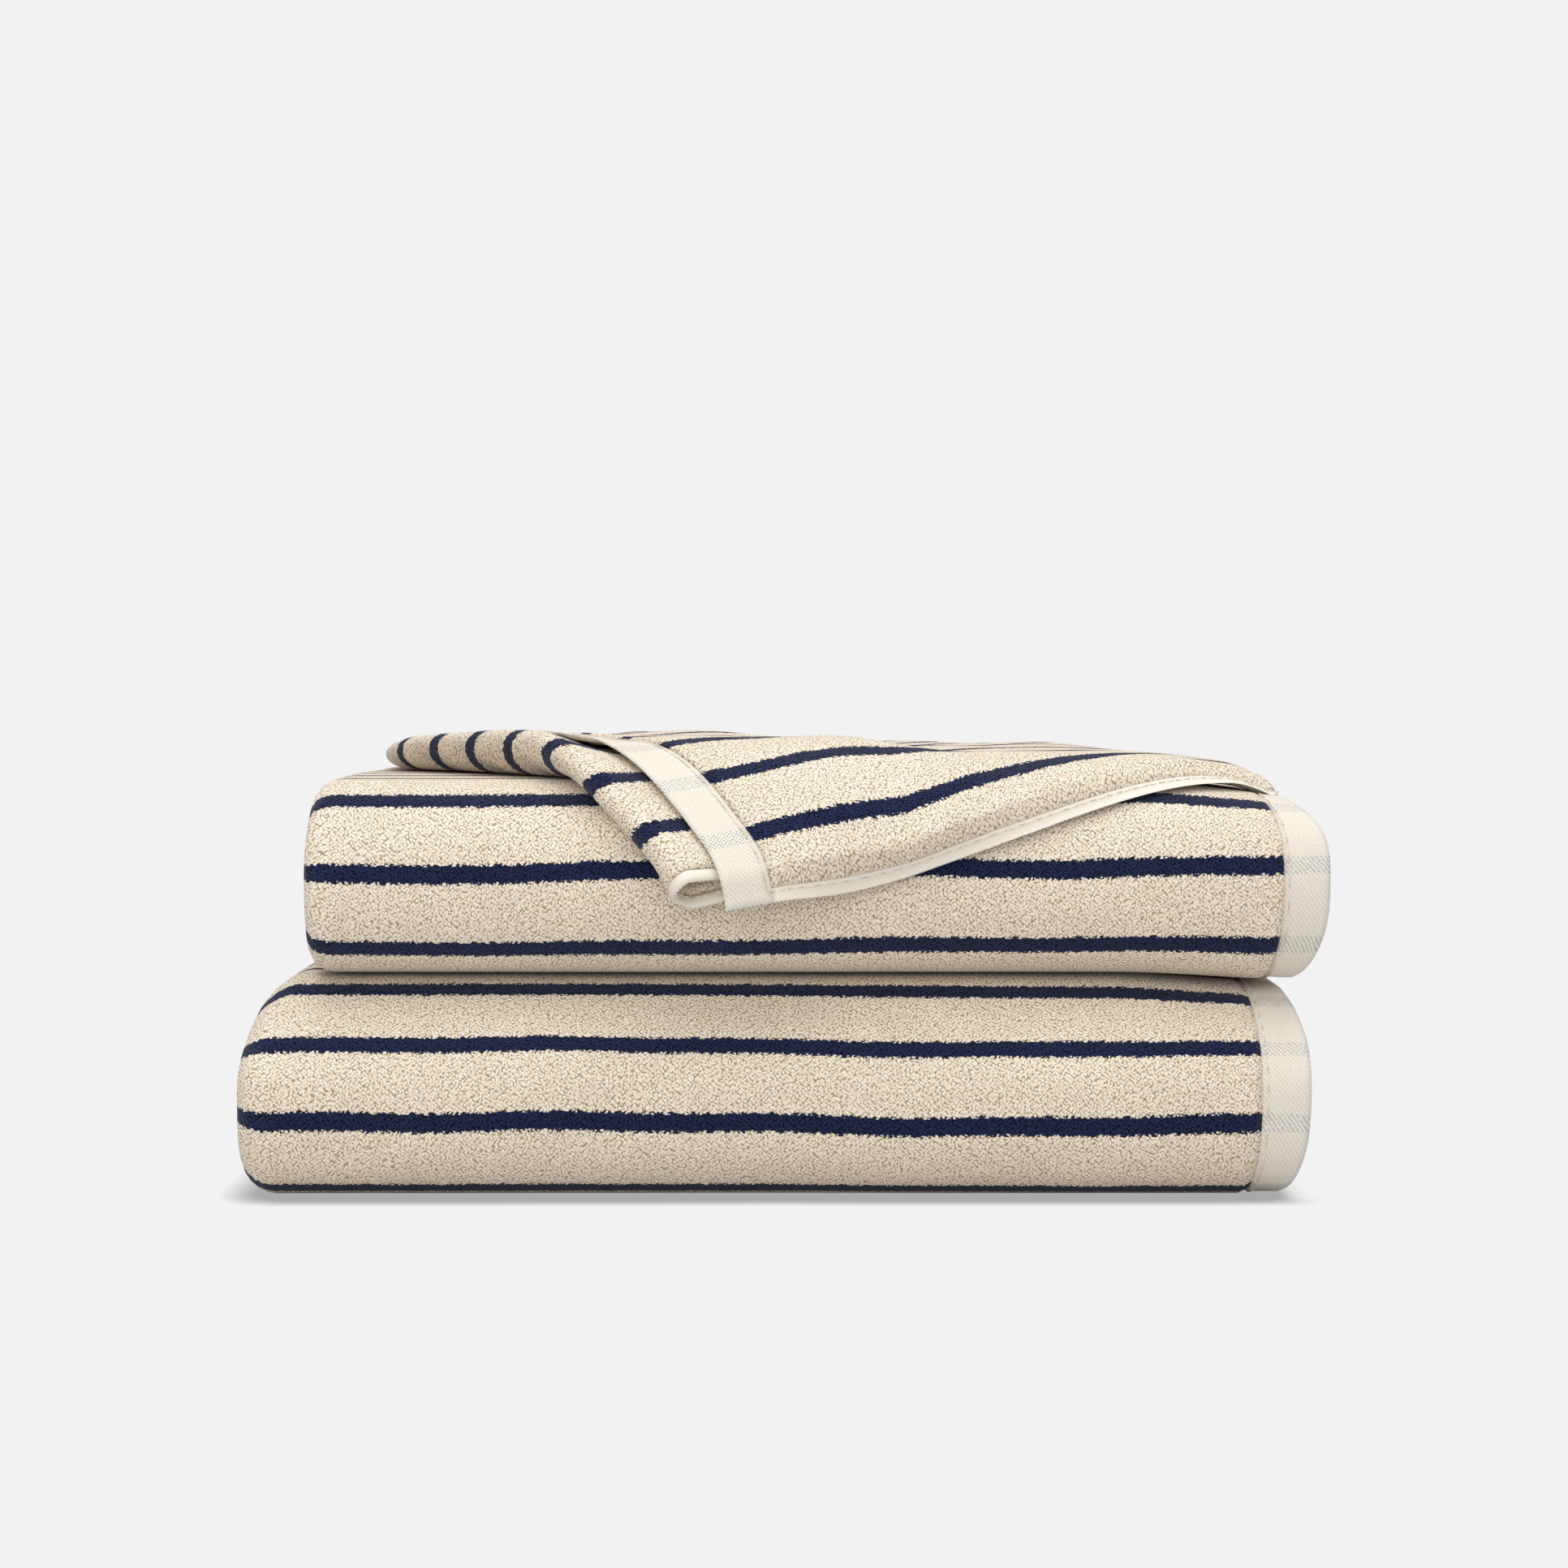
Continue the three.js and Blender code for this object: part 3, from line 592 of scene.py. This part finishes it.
def stitch_tree(name):
    """Geometry nodes that lay short stitches along a line, turned to follow it."""
    tree = bpy.data.node_groups.new(name, "GeometryNodeTree")
    sockets = {}
    tree.interface.new_socket("Geometry", in_out="INPUT", socket_type="NodeSocketGeometry")
    for label, kind in (("Spacing", "Float"), ("Length", "Float"), ("Radius", "Float"),
                        ("Material", "Material")):
        made = tree.interface.new_socket(label, in_out="INPUT", socket_type=f"NodeSocket{kind}")
        sockets[label] = made.identifier
    tree.interface.new_socket("Geometry", in_out="OUTPUT", socket_type="NodeSocketGeometry")
    given = add_node(tree, "NodeGroupInput").outputs
    line = add_node(tree, "GeometryNodeMeshToCurve", None, {0: given["Geometry"]})
    points = add_node(tree, "GeometryNodeCurveToPoints", {"mode": "LENGTH"}, {
        "Curve": line.outputs[0], "Length": given["Spacing"]})
    stitch = add_node(tree, "GeometryNodeMeshCylinder", None, {
        "Vertices": 6, "Side Segments": 2, "Radius": given["Radius"], "Depth": given["Length"]})
    turned = add_node(tree, "FunctionNodeAlignRotationToVector", {"axis": "Z"}, {
        "Vector": points.outputs["Tangent"]})
    placed = add_node(tree, "GeometryNodeInstanceOnPoints", None, {
        "Points": points.outputs["Points"], "Instance": stitch.outputs["Mesh"],
        "Rotation": turned.outputs[0]})
    real = add_node(tree, "GeometryNodeRealizeInstances", None, {0: placed.outputs[0]})
    finished = add_node(tree, "GeometryNodeSetMaterial", None, {
        "Geometry": real.outputs[0], "Material": given["Material"]})
    add_node(tree, "NodeGroupOutput", None, {0: finished.outputs[0]})
    return tree, sockets


def stitch_lines(name, lines, cloth, material):
    """One mesh of stitches along every line."""
    verts = [tuple(point) for line in lines for point in line]
    edges = []
    start = 0
    for line in lines:
        edges += [(start + i, start + i + 1) for i in range(len(line) - 1)]
        start += len(line)
    guide_mesh = bpy.data.meshes.new(name + "_guide")
    guide_mesh.from_pydata(verts, edges, [])
    guide = bpy.data.objects.new(name + "_guide", guide_mesh)
    bpy.context.scene.collection.objects.link(guide)
    tree, sockets = stitch_tree(name + "_tree")
    modifier = guide.modifiers.new("Stitches", "NODES")
    modifier.node_group = tree
    modifier[sockets["Spacing"]] = cloth.stitch_spacing
    modifier[sockets["Length"]] = cloth.stitch_length
    modifier[sockets["Radius"]] = THREAD_RADIUS
    modifier[sockets["Material"]] = material
    evaluated = guide.evaluated_get(bpy.context.evaluated_depsgraph_get())
    mesh = bpy.data.meshes.new_from_object(evaluated)
    mesh.name = name
    piece = bpy.data.objects.new(name, mesh)
    bpy.context.scene.collection.objects.link(piece)
    bpy.data.objects.remove(guide)
    bpy.data.node_groups.remove(tree)
    return piece


# Bath towels

BATH_TOWELS = {
    "lower_towel": {
        "top_pass": 0.1898, "left_squareness": 2.0, "left_slope": 12 * MM, "top_belly": -0.10,
        "bottom_belly": 0.10, "top_pull": 7.5 * MM, "bottom_pull": 7.5 * MM, "top_sag": 4.0 * MM,
        "bottom_sag": 0.0, "skew": -1.8 * MM, "seed": 11,
    },
    "upper_towel": {
        "top_pass": 0.1836, "left_squareness": 3.6, "left_slope": 2 * MM, "top_belly": 0.03,
        "bottom_belly": 0.05, "top_pull": 13.5 * MM, "bottom_pull": 9.0 * MM, "top_sag": 5.5 * MM,
        "bottom_sag": 2.8 * MM, "skew": 2.4 * MM, "seed": 23,
    },
}
BATH_PLAN = {
    "margin": 20 * MM, "ends": ("outer", "inner"), "sides": ("free", "tucked"),
    "end_lift": 0.9 * MM, "pile_taper": 2 * MM,
}
HAND_PLAN = {
    "margin": 23.5 * MM, "ends": ("top", "tucked"), "sides": ("front", "back"),
    "end_lift": 0, "pile_taper": 2.6 * MM,
}
HEM_THICKNESS = 2.0 * MM
SIDE_HEM_THICKNESS = 2.6 * MM
SIDE_HEM_RELIEF = 0.25
END_HEM_ROWS = 9
SIDE_HEM_ROWS = 7
END_STITCH_INSET = 1.8 * MM
SIDE_STITCH_INSET = 1.2 * MM
SIDE_STITCH_HEIGHT = 1.4 * MM
LINE_MARGIN = 2 * MM


def rows_between(route, low, high):
    """The part of a route between two flat distances, with exact ends."""
    points, normals, distance = route
    inside = distance[(distance > low + 1e-5) & (distance < high - 1e-5)]
    wanted = np.concatenate([[low], inside, [high]])
    place = np.stack([np.interp(wanted, distance, column) for column in points.T], 1)
    facing = np.stack([np.interp(wanted, distance, normals[:, k]) for k in range(2)], 1)
    facing /= np.linalg.norm(facing, axis=1)[:, None]
    return (place, facing), wanted


def strip(towel, name, rows, t, centre, thickness, rounding):
    """A strip of the folded towel: centre is how far its middle stands out of the cloth's."""
    route, u = rows
    half = thickness / 2 * rounding
    upper = towel.place(route, t, centre + half)
    lower = towel.place(route, t, centre - half)
    return sheet_mesh(name, upper, lower, u, t)


def densify(rows, u, wanted):
    """The same rows with stations added at the wanted flat distances."""
    place, facing = rows
    stations = merged(u, wanted)
    place = np.stack([np.interp(stations, u, column) for column in place.T], 1)
    facing = np.stack([np.interp(stations, u, facing[:, k]) for k in range(2)], 1)
    return (place, facing), stations


def line_on(towel, rows, t, out):
    """Points that stand out of the cloth's middle by one distance."""
    route, u = rows
    return towel.place(route, t, np.full((len(u), len(t)), out))


def build_cloth(body, towel, route, t, t_hem, plan, cloth, settings):
    """The terry of a towel and its four hems, by the end of the node's name."""
    terry = looped_terry(cloth, plan["margin"])
    hem = flat_woven_hem(cloth, plan["margin"], 1.0)
    turned_hem = flat_woven_hem(cloth, plan["margin"], SIDE_HEM_RELIEF)
    side, end = cloth.side_hem, cloth.end_hem
    length, width = settings.length, settings.width
    rows = rows_between(route, end, length - end)
    pile = edge_taper(rows[1], end, length - end, 2.2 * MM, 0.55)[:, None] * edge_taper(
        t, side, width - side, plan["pile_taper"], 0.6)[None, :]
    pieces = {"terry": strip(towel, body + "_cloth", rows, t, 0, settings.thickness, pile)}
    pieces["terry"].data.materials.append(terry)
    for label, a, b in zip(plan["ends"], (0, length - end), (end, length)):
        found, u = rows_between(route, a, b)
        found, u = densify(found, u, np.linspace(a, b, END_HEM_ROWS))
        flatness = edge_taper(u, a, b, 1.2 * MM, 0.35)[:, None] * np.ones(len(t_hem))[None, :]
        piece = strip(towel, f"{body}_{label}_end_hem", (found, u), t_hem,
                      plan["end_lift"], HEM_THICKNESS, flatness)
        piece.data.materials.append(hem)
        pieces["end_hem_" + label] = piece
    for label, a, b in zip(plan["sides"], (0, width - side), (side, width)):
        t_side = np.linspace(a, b, SIDE_HEM_ROWS)
        roundness = np.ones(len(rows[1]))[:, None] * edge_taper(t_side, a, b, side / 2, 0.25)[None, :]
        piece = strip(towel, f"{body}_{label}_side_hem", rows, t_side, 0, SIDE_HEM_THICKNESS, roundness)
        piece.data.materials.append(turned_hem)
        pieces["side_hem_" + label] = piece
    return pieces


def end_stitches(towel, body, route, starts, t, out, cloth):
    """Rows of stitches across the cloth, one from each flat distance in starts."""
    lines = [line_on(towel, rows_between(route, u, u + 0.1 * MM), t, out)[0] for u in starts]
    return stitch_lines(body + "_end_stitches", lines, cloth, sewing_thread(cloth))


def side_stitches(towel, body, route, cloth, settings):
    """A row of stitches along each side hem, just inside the fold of the hem."""
    rows = rows_between(route, cloth.end_hem, settings.length - cloth.end_hem)
    inset = cloth.side_hem - SIDE_STITCH_INSET
    grid = line_on(towel, rows, np.array([inset, settings.width - inset]), SIDE_STITCH_HEIGHT)
    return stitch_lines(body + "_side_stitches", [grid[:, 0], grid[:, 1]], cloth, sewing_thread(cloth))


def declare(pieces, body):
    """Attaches every piece to its body, hides the part of model.glb that it stands for, and returns the
    hems.
    """
    for node, piece in pieces.items():
        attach(piece, body)
        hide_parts(f"{body}_{node}")
    return [piece for node, piece in pieces.items() if node != "terry"]


def build_bath_towel(body, cloth, settings):
    """A folded bath towel with its hems and stitches."""
    towel = FoldedTowel(body + "_terry", settings, BATH_TOWELS[body])
    route = towel.length_route(3.2 * MM)
    side, width = cloth.side_hem, settings.width
    near_edge = np.array([0.4, 1.0, 2.0]) * MM
    t = merged(towel.across_stations(side, width - side), side + near_edge, width - side - near_edge)
    t_hem = towel.across_stations(0, width)
    pieces = build_cloth(body, towel, route, t, t_hem, BATH_PLAN, cloth, settings)
    inset = cloth.end_hem - END_STITCH_INSET
    pieces["end_hem_thread"] = end_stitches(
        towel, body, route, (inset, settings.length - inset),
        towel.across_stations(LINE_MARGIN, width - LINE_MARGIN), 2.0 * MM, cloth)
    pieces["side_hem_thread"] = side_stitches(towel, body, route, cloth, settings)
    hems = declare(pieces, body)


# Hand towel


class DrapedTowel:
    """Maps the flat hand towel to its folded place over the upper bath towel."""

    corner_x = -34 * MM
    corner_drop = 19.5 * MM
    hem_turns = ((0, 0.060, 0.120, 0.212), (13, 17, 20, 27))
    roll_turns = ((0, 0.010, 0.025, 0.175, 0.210, 0.250), (6, 16, 33, 35, 8, 0))
    hang_radius = 104 * MM
    edge_radius = 13 * MM
    back_step = 8 * MM
    clearance = 0.5 * MM
    right_sag = 4.5 * MM
    corner_sag = 5.0 * MM
    lead_in = 20 * MM
    samples = 800

    def __init__(self, settings, seed):
        low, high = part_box("upper_towel_terry")
        self.low, self.high = low, high
        self.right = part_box("upper_towel_end_hem_outer")[1].x
        self.half = (high.z - low.z) / 2
        self.settings = settings
        self.layer = settings.thickness + 0.6 * MM
        self.first = self.clearance + settings.thickness / 2
        self.seed = seed
        self.hem_run = self.run_table(settings.folded_length + 2 * self.lead_in, *self.hem_turns)
        self.roll_run = self.run_table(settings.width + self.lead_in, *self.roll_turns)

    def run_table(self, length, marks, degrees):
        """How far a line that turns bit by bit gets, forward and sideways: degrees are its heading
        at each mark."""
        distance = np.linspace(-self.lead_in, length, self.samples)
        step = distance[1] - distance[0]
        yaw = np.radians(np.interp(distance, marks, degrees))
        sums = (np.cumsum(np.cos(yaw)) * step, np.cumsum(np.sin(yaw)) * step)
        return distance, *(line - np.interp(0, distance, line) for line in sums)

    def on_upper(self, x, along, lift):
        """A point over the upper towel: along runs from front to back and is 0 where the front
        rounding ends. Near the roll the cloth leaves that rounding early and hangs free."""
        half, radius = self.half, self.hang_radius
        nose_y = self.low.y + half
        edge_y = self.high.y - self.edge_radius
        flat = edge_y - nose_y
        top = self.high.z
        leave = self.leave_angle(x)
        wrapped = np.clip(-along / half, 0, None)
        hanging = np.clip(wrapped - leave, 0, None) * half / radius
        angle = np.minimum(wrapped, leave) + hanging
        wide = np.where(hanging > 0, radius, half)
        y = nose_y - (half - wide) * np.sin(leave) - (wide + lift) * np.sin(angle)
        z = top - half + (half - wide) * np.cos(leave) + (wide + lift) * np.cos(angle)
        y = np.where(along > 0, nose_y + along, y)
        z = np.where(along > 0, top + lift, z)
        bend = np.clip((along - flat) / self.edge_radius, 0, math.pi / 2)
        fall = np.clip(along - flat - math.pi / 2 * self.edge_radius, 0, None)
        reach = self.edge_radius + lift
        clear = self.back_step * smooth(fall, 0, 40 * MM)
        y = np.where(along > flat, edge_y + reach * np.sin(bend) + clear, y)
        z = np.where(along > flat, top - self.edge_radius + reach * np.cos(bend) - fall, z)
        share = np.clip(1 + along / (1.2 * half), 0, 1)
        sag = self.right_sag * smooth(x, self.right - 70 * MM, self.right)
        sag = sag + self.corner_sag * smooth(x, 148 * MM, 172 * MM)
        z = z - sag * share - BACK_SAG * smooth(along, 50 * MM, 190 * MM)
        return y, z

    def leave_angle(self, x):
        """How far round the front the cloth stays on it before it hangs free."""
        return np.radians(50 + 60 * smooth(x, -5 * MM, 75 * MM))

    def climb(self, x, start, rise, lift):
        """Where cloth raised by lift gets to, rise further than start: an outer layer has further
        to go round the front than an inner one."""
        nose = (self.half + lift) / self.half
        hang = (self.hang_radius + lift) / self.hang_radius
        wrapped = self.leave_angle(x) * self.half
        down = np.clip(-start, 0, None)
        left = np.minimum(down, wrapped) * nose + np.clip(down - wrapped, 0, None) * hang - rise
        hanging = wrapped + (left - wrapped * nose) / hang
        down = np.where(left > wrapped * nose, hanging, left / nose)
        return np.where(start > 0, start + rise, np.where(left > 0, -down, -left))

    def place_point(self, p, q, lift):
        """The place of a point p from the roll, q from the front edge and lift above the towel."""
        distance, forward, sideways = self.hem_run
        hem_x = np.interp(p, distance, forward)
        hem_s = np.interp(p, distance, sideways)
        distance, forward, sideways = self.roll_run
        roll_s = np.interp(q, distance, forward)
        roll_x = np.interp(q, distance, sideways)
        x = self.corner_x + hem_x - roll_x
        back_left = smooth(roll_s, 100 * MM, 200 * MM) * smooth(-x, 20 * MM, 120 * MM)
        lift = lift * (1 - 0.25 * smooth(x, 70 * MM, 170 * MM) - 0.38 * back_left)
        start = -(math.pi / 2) * self.half - self.corner_drop + hem_s
        along = self.climb(x, start, roll_s, lift)
        wave = creases(x, along, 75 * MM, self.seed, 2)
        y, z = self.on_upper(x, along, lift + 0.7 * MM * wave * np.clip(lift / (8 * MM), 0, 1))
        return np.stack([x, y, z], -1)

    def length_route(self, step):
        """The folded length: distance from the roll, lift, and level (2 flap, 1 middle, 0 tucked)."""
        s = self.settings
        layer, first = self.layer, self.first
        roll_gap = 2.7 * layer
        tuck_end = s.length - 2 * s.folded_length + s.flap_start - 12 * MM

        def middle(p):
            settled = first + layer * (1 - smooth(p, tuck_end - 4 * MM, tuck_end + 34 * MM))
            return settled + (roll_gap - layer) * np.exp(-(p / (15 * MM)) ** 2)

        def flap(p):
            return middle(p) + layer + 0.3 * MM

        far = s.folded_length - layer * 0.6
        points = [(p, flap(p), 2) for p in spread(s.flap_start, far, step)]
        points += self.half_turn(far, float(flap(far)), float(middle(far)), 1, (2, 1), 9)
        roll = roll_gap / 2
        points += [(p, middle(p), 1) for p in spread(far, roll, step)[1:]]
        points += self.half_turn(roll, float(middle(roll)), first, -1, (1, 0), 13)
        points += [(p, first, 0) for p in spread(roll, tuck_end, step)[1:]]
        route = Route(0, 0)
        route.points = [tuple(float(value) for value in point) for point in points]
        points, normals, distance = route.finish(s.length)
        return points, -normals, distance

    def half_turn(self, p, high, low, side, levels, steps):
        """A fold at p from one lift to another, going out to the given side."""
        centre, radius = (low + high) / 2, (high - low) / 2
        return [(p + side * radius * math.sin(a), centre + radius * math.cos(a),
                 levels[0] + (levels[1] - levels[0]) * a / math.pi)
                for a in np.linspace(0, math.pi, steps)[1:]]

    def place(self, route, q, side):
        """As FoldedTowel.place. The layers under the flap start further back, so that its front
        edge falls over them, and the roll stands open at its front end."""
        points, normals = route
        run = points[:, None, :2] + normals[:, None, :] * side[..., None]
        level = np.broadcast_to(points[:, 2:3], side.shape)
        q = np.broadcast_to(q[None, :], side.shape)
        p, lift = run[..., 0], run[..., 1]
        skew = 3.5 * MM * smooth(q, 5 * MM, 70 * MM) * (1 - smooth(p, 0, 60 * MM))
        p = p - skew * np.clip(2 - level, 0, 1)
        middle_back = 11 * MM - 7 * MM * smooth(p, 180 * MM, 212 * MM)
        tucked_back = 6.0 * MM + 5.0 * MM * smooth(p, 14 * MM, 40 * MM)
        back = np.where(level < 1, tucked_back + (middle_back - tucked_back) * level,
                        middle_back * (2 - level))
        over = np.clip(level - 1, 0, 1) * (0.35 + 0.65 * smooth(p, 20 * MM, 60 * MM))
        over = over * (1 - smooth(q, 0.5 * MM, 11 * MM))
        pile_under = np.clip(lift - self.first, 0, None) * over
        opening = 5.0 * MM * np.clip(level, 0, 1) * np.exp(-(p / (17 * MM)) ** 2)
        lift = lift - pile_under + opening * (1 - smooth(q, 0, 40 * MM))
        return self.place_point(p, q + back * (1 - q / self.settings.width), lift)


def build_hand_towel(cloth, settings):
    """The draped hand towel with its hems and stitches."""
    body = "hand_towel"
    towel = DrapedTowel(settings, 31)
    step = 2.6 * MM
    route = towel.length_route(step)
    side, width = cloth.side_hem, settings.width
    q = merged(spread(side, width - side, step), spread(side, 16 * MM, step / 2))
    pieces = build_cloth(body, towel, route, q, spread(0, width, step), HAND_PLAN, cloth, settings)
    pieces["end_hem_thread"] = end_stitches(
        towel, body, route, (cloth.end_hem - END_STITCH_INSET,),
        spread(LINE_MARGIN, width - LINE_MARGIN, 3 * MM), 1.2 * MM, cloth)
    pieces["side_hem_thread"] = side_stitches(towel, body, route, cloth, settings)
    hems = declare(pieces, body)


# Stage


PAPER_REACH = 6.0
AIM = (0, 0, 80 * MM)
LAMPS = (
    ("overhead softbox", (0.0, -0.35, 1.4), 1.5, 15),
    ("front fill", (-0.3, -1.9, 0.8), 1.4, 13),
)


def build_stage(stage):
    """The paper floor, the camera, the lamps and the even light of the room."""
    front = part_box("lower_towel_terry")[0].y
    floor_mesh = bpy.data.meshes.new("floor")
    corners = ((-1, -1), (1, -1), (1, 1), (-1, 1))
    floor_mesh.from_pydata([(x * PAPER_REACH, y * PAPER_REACH, 0) for x, y in corners], [], [(0, 1, 2, 3)])
    floor = bpy.data.objects.new("floor", floor_mesh)
    floor_mesh.materials.append(backdrop_paper())
    bpy.context.scene.collection.objects.link(floor)

    camera_data = bpy.data.cameras.new("camera")
    camera_data.lens = stage.focal_length
    camera_data.sensor_width = 36
    camera = bpy.data.objects.new("camera", camera_data)
    camera.location = (0, front - stage.distance, stage.eye_height)
    camera.rotation_euler = (math.pi / 2 - stage.tilt, 0, 0)
    bpy.context.scene.collection.objects.link(camera)
    bpy.context.scene.camera = camera

    for name, place, size, power in LAMPS:
        data = bpy.data.lights.new(name, "AREA")
        data.size = size
        data.energy = power
        lamp = bpy.data.objects.new(name, data)
        lamp.location = place
        lamp.rotation_euler = (Vector(AIM) - Vector(place)).to_track_quat("-Z", "Y").to_euler()
        bpy.context.scene.collection.objects.link(lamp)

    world = bpy.data.worlds.new("studio")
    world.use_nodes = True
    tree = world.node_tree
    tree.nodes.clear()
    direct = add_node(tree, "ShaderNodeLightPath").outputs["Is Camera Ray"]
    room = add_node(tree, "ShaderNodeBackground", None, {0: shade(srgb("#FFFFFF")), 1: stage.room_light})
    paper = add_node(tree, "ShaderNodeBackground", None, {0: shade(srgb(PAPER)), 1: 1.0})
    both = add_node(tree, "ShaderNodeMixShader", None, {0: direct, 1: room.outputs[0], 2: paper.outputs[0]})
    add_node(tree, "ShaderNodeOutputWorld", None, {0: both.outputs[0]})
    bpy.context.scene.world = world
    bpy.context.scene.view_settings.view_transform = "Standard"


# Operators and panel


class TOWELS_OT_stage(bpy.types.Operator):
    """Add the paper floor, the soft lights and the camera"""

    bl_idname = "towels.stage"
    bl_label = "Stage"

    def execute(self, context):
        build_stage(context.scene.towel_stage)
        return {"FINISHED"}


class TOWELS_OT_bath_towels(bpy.types.Operator):
    """Add the folded bath towels with their hems and stitches"""

    bl_idname = "towels.bath_towels"
    bl_label = "Bath towels"

    def execute(self, context):
        for body in BATH_TOWELS:
            build_bath_towel(body, context.scene.towel_cloth, context.scene.bath_towel)
        return {"FINISHED"}


class TOWELS_OT_hand_towel(bpy.types.Operator):
    """Add the draped hand towel with its hems and stitches"""

    bl_idname = "towels.hand_towel"
    bl_label = "Hand towel"

    def execute(self, context):
        build_hand_towel(context.scene.towel_cloth, context.scene.hand_towel)
        return {"FINISHED"}


class TOWELS_PT_panel(bpy.types.Panel):
    """Sizes, colours and the pieces of the towel set"""

    bl_idname = "TOWELS_PT_panel"
    bl_label = "Bath towel set"
    bl_space_type = "VIEW_3D"
    bl_region_type = "UI"
    bl_category = "Towels"

    def draw(self, context):
        for group in GROUPS:
            box = self.layout.box()
            box.label(text=group.__doc__.strip(". "))
            settings = getattr(context.scene, GROUPS[group])
            for name in group.__annotations__:
                box.prop(settings, name)
        for operator in OPERATORS:
            self.layout.operator(operator.bl_idname)


GROUPS = {
    ClothSettings: "towel_cloth",
    BathTowelSettings: "bath_towel",
    HandTowelSettings: "hand_towel",
    StageSettings: "towel_stage",
}
OPERATORS = (TOWELS_OT_stage, TOWELS_OT_bath_towels, TOWELS_OT_hand_towel)


def register():
    for group, name in GROUPS.items():
        bpy.utils.register_class(group)
        setattr(bpy.types.Scene, name, PointerProperty(type=group))
    for item in (*OPERATORS, TOWELS_PT_panel):
        bpy.utils.register_class(item)


def unregister():
    for item in (TOWELS_PT_panel, *reversed(OPERATORS)):
        bpy.utils.unregister_class(item)
    for group, name in reversed(GROUPS.items()):
        delattr(bpy.types.Scene, name)
        bpy.utils.unregister_class(group)


def main():
    register()
    bpy.ops.towels.stage()
    bpy.ops.towels.bath_towels()
    bpy.ops.towels.hand_towel()


if __name__ == "__main__":
    main()
